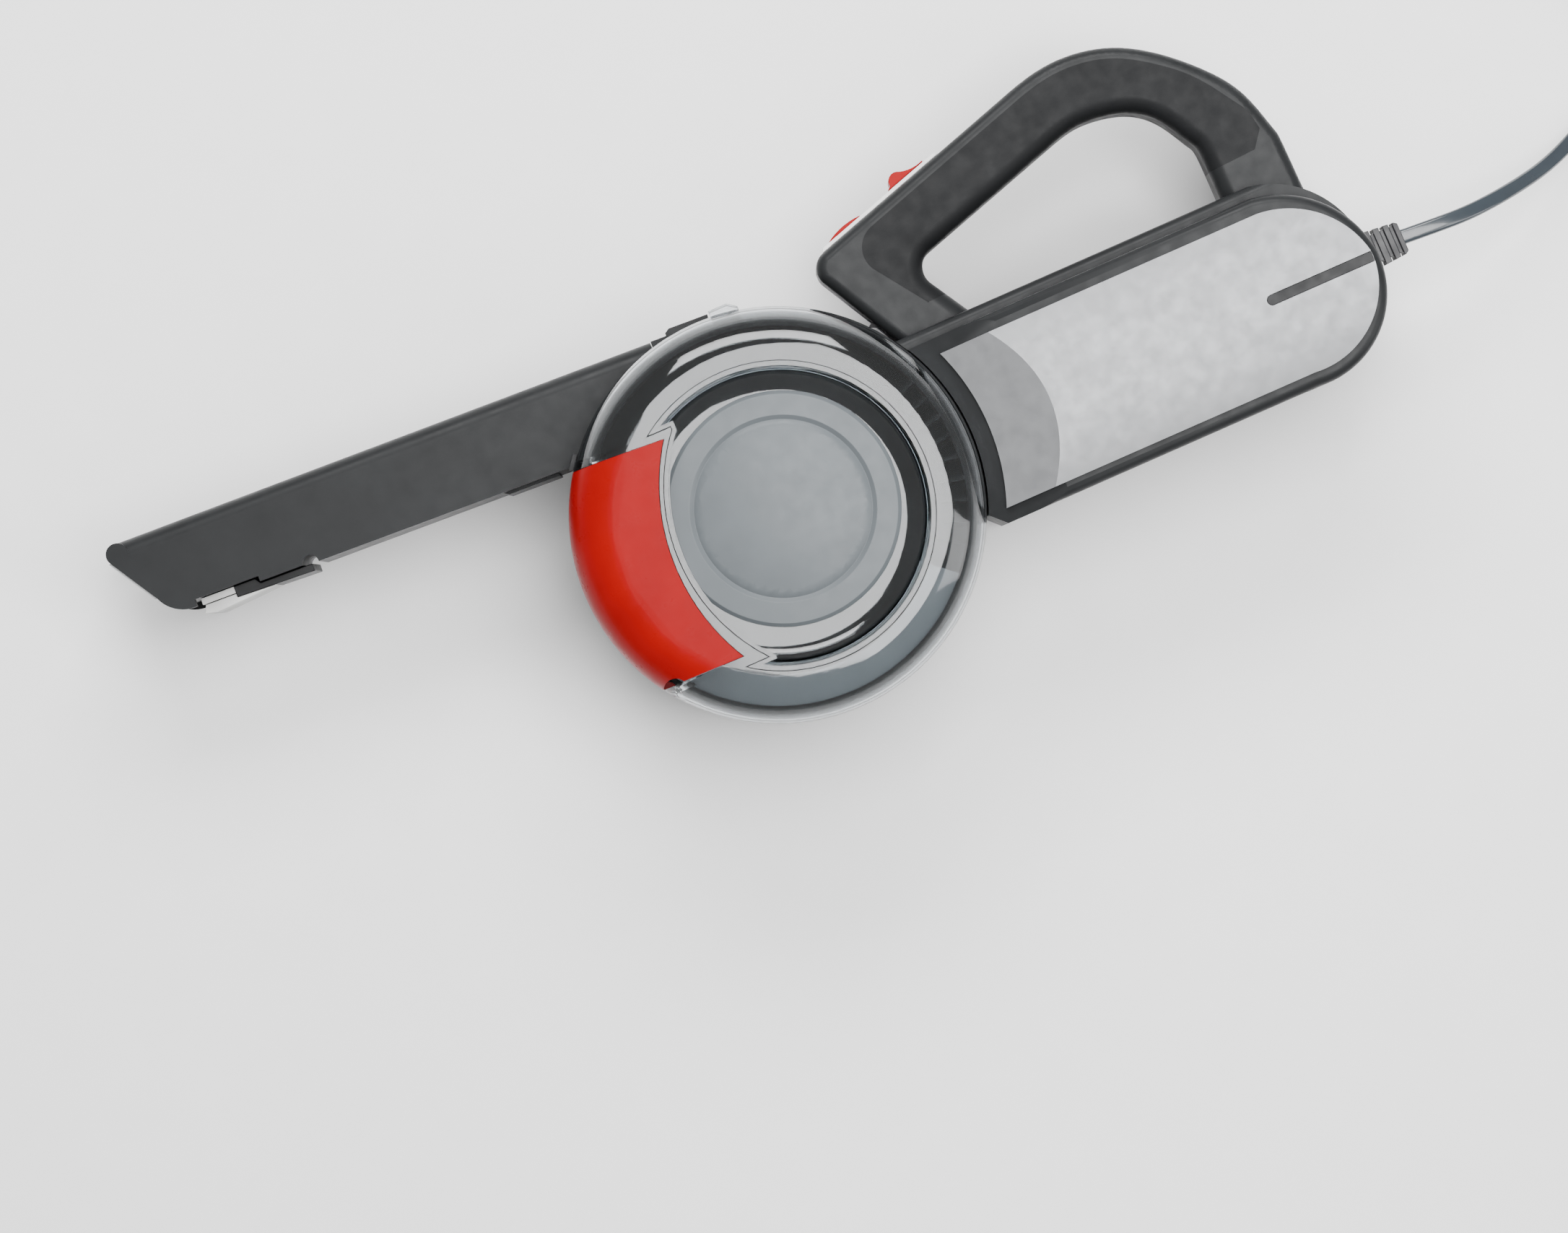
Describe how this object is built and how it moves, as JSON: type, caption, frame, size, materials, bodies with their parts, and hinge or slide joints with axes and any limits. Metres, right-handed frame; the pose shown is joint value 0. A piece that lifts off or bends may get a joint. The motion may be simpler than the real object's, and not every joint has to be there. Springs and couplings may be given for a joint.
{
  "type": "handheld_vacuum",
  "caption": "Corded handheld vacuum with a looped handle, a smoked round dust bowl with a red door, and a long flat nozzle that pivots round the bowl.",
  "frame": {"origin": "on the drum's pivot axis, on the plane the vacuum lies on", "axes": "+X along the motor housing towards the cord, +Y towards the handle, +Z along the pivot axis away from the surface"},
  "size_m": [0.7725, 0.2132, 0.113],
  "materials": {
    "black_plastic": "satin black",
    "bristle": "dense grey nylon bristles",
    "clear_smoke": "smoked transparent plastic, polished",
    "copper": "enamelled copper",
    "cord_jacket": "glossy flexible cord jacket",
    "dark_plastic": "fine satin texture, charcoal grey",
    "felt": "black felt",
    "filter_paper": "pleated filter paper",
    "grey_disc": "satin blue-grey",
    "light_grey": "satin light grey",
    "red_plastic": "translucent red plastic, polished",
    "rubber": "soft black rubber",
    "silver_plastic": "silver lacquer, soft sheen",
    "steel": "bright steel"
  },
  "bodies": {
    "housing": {"housing_near": "dark_plastic", "housing_far": "dark_plastic", "grip_near": "black_plastic", "grip_far": "black_plastic", "housing_screws": "steel", "side_panel_near": "silver_plastic", "side_panel_far": "silver_plastic", "panel_inlay_near": "black_plastic", "panel_inlay_far": "black_plastic", "switch_plate": "light_grey", "main_switch": "black_plastic", "strain_relief": "rubber", "motor_can": "steel", "motor_magnets": "steel", "motor_endcap": "light_grey", "fan_shroud": "black_plastic", "fan_guard": "black_plastic", "motor_mount_front": "black_plastic", "motor_mount_rear": "black_plastic", "lead_wires": "cord_jacket", "hub_housing": "dark_plastic", "hub_cover": "dark_plastic", "hub_screws": "steel", "pivot_bearing": "black_plastic", "felt_seal": "felt", "cord_lead": "cord_jacket", "cord_tail": "cord_jacket", "cord_coil": "cord_jacket", "cord_tie": "black_plastic", "plug_body": "black_plastic", "plug_springs": "steel", "plug_nose": "red_plastic"},
    "rotor": {"motor_shaft": "steel", "armature": "steel", "commutator": "copper", "impeller": "light_grey"},
    "slider": {"power_slider": "red_plastic"},
    "release": {"release_button": "red_plastic", "release_rod": "black_plastic"},
    "drum": {"drum_base": "dark_plastic", "hub_retainer": "black_plastic", "retainer_screws": "steel", "nozzle_duct": "dark_plastic", "nozzle_lip": "light_grey", "baffle_ring": "light_grey", "air_louvre": "dark_plastic"},
    "brush": {"brush_carrier": "black_plastic", "brush_bristles": "bristle"},
    "bowl": {"bowl_shell": "clear_smoke", "bowl_seal": "rubber", "bowl_clip": "clear_smoke", "hinge_pin": "steel", "door_catch": "black_plastic"},
    "door": {"dust_door": "red_plastic"},
    "filter": {"filter_cap": "clear_smoke", "cap_disc": "grey_disc", "filter_frame": "dark_plastic", "pleated_filter": "filter_paper", "prefilter_sleeve": "light_grey"},
    "tip": {"plug_tip": "steel"}
  },
  "joints": [
    {"name": "nozzle_pivot", "type": "hinge", "parent": "housing", "child": "drum", "pos_m": [0, 0, 0.045], "axis": [0, 0, 1], "range_deg": [-30, 165]},
    {"name": "bowl_lift", "type": "slide", "parent": "drum", "child": "bowl", "axis": [0, 0, 1], "range_m": [0, 0.05]},
    {"name": "dust_door_hinge", "type": "hinge", "parent": "bowl", "child": "door", "pos_m": [-0.0672, -0.0496, 0.087], "axis": [0, 0, -1], "range_deg": [-100, 0]},
    {"name": "filter_lift", "type": "slide", "parent": "bowl", "child": "filter", "axis": [0, 0, 1], "range_m": [0, 0.075]},
    {"name": "power_slide", "type": "slide", "parent": "housing", "child": "slider", "axis": [-0.9558, -0.294, 0], "range_m": [0, 0.006]},
    {"name": "release_press", "type": "slide", "parent": "housing", "child": "release", "axis": [0.294, -0.9558, 0], "range_m": [0, 0.0025], "stiffness_N_per_m": 800, "springref_m": -0.001},
    {"name": "rotor_spin", "type": "hinge", "parent": "housing", "child": "rotor", "pos_m": [0.163, 0, 0.048], "axis": [1, 0, 0], "continuous": true},
    {"name": "brush_slide", "type": "slide", "parent": "drum", "child": "brush", "axis": [-0.9983, 0.0584, 0], "range_m": [0, 0.024]},
    {"name": "plug_tip_press", "type": "slide", "parent": "housing", "child": "tip", "axis": [0, 1, 0], "range_m": [0, 0.003], "stiffness_N_per_m": 600, "springref_m": -0.001}
  ]
}
